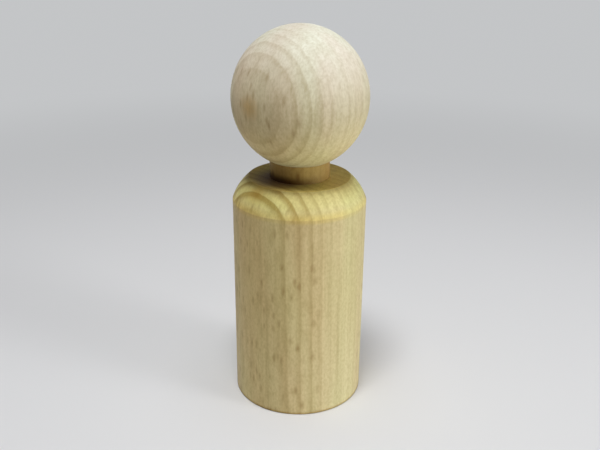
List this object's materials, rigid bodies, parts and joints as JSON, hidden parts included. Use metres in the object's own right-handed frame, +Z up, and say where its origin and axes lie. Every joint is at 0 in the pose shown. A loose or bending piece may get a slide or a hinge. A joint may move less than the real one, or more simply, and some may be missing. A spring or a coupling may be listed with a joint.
{
  "type": "peg doll",
  "caption": "Plain wooden peg doll: a round straight body with a sloping shoulder, a short thin neck and a full ball head, all bare beech.",
  "frame": {"origin": "centre of the flat base, where the doll's axis meets the table", "axes": "+Z up along the doll's turning axis; -Y faces the picture's camera, with the flat-sawn side of the wood to the front left"},
  "size_m": [0.035, 0.035, 0.1004],
  "materials": {
    "beech": "bare, sanded smooth, no varnish"
  },
  "bodies": {
    "root": {"body": "beech", "neck_dowel": "beech", "head": "beech"}
  },
  "joints": []
}
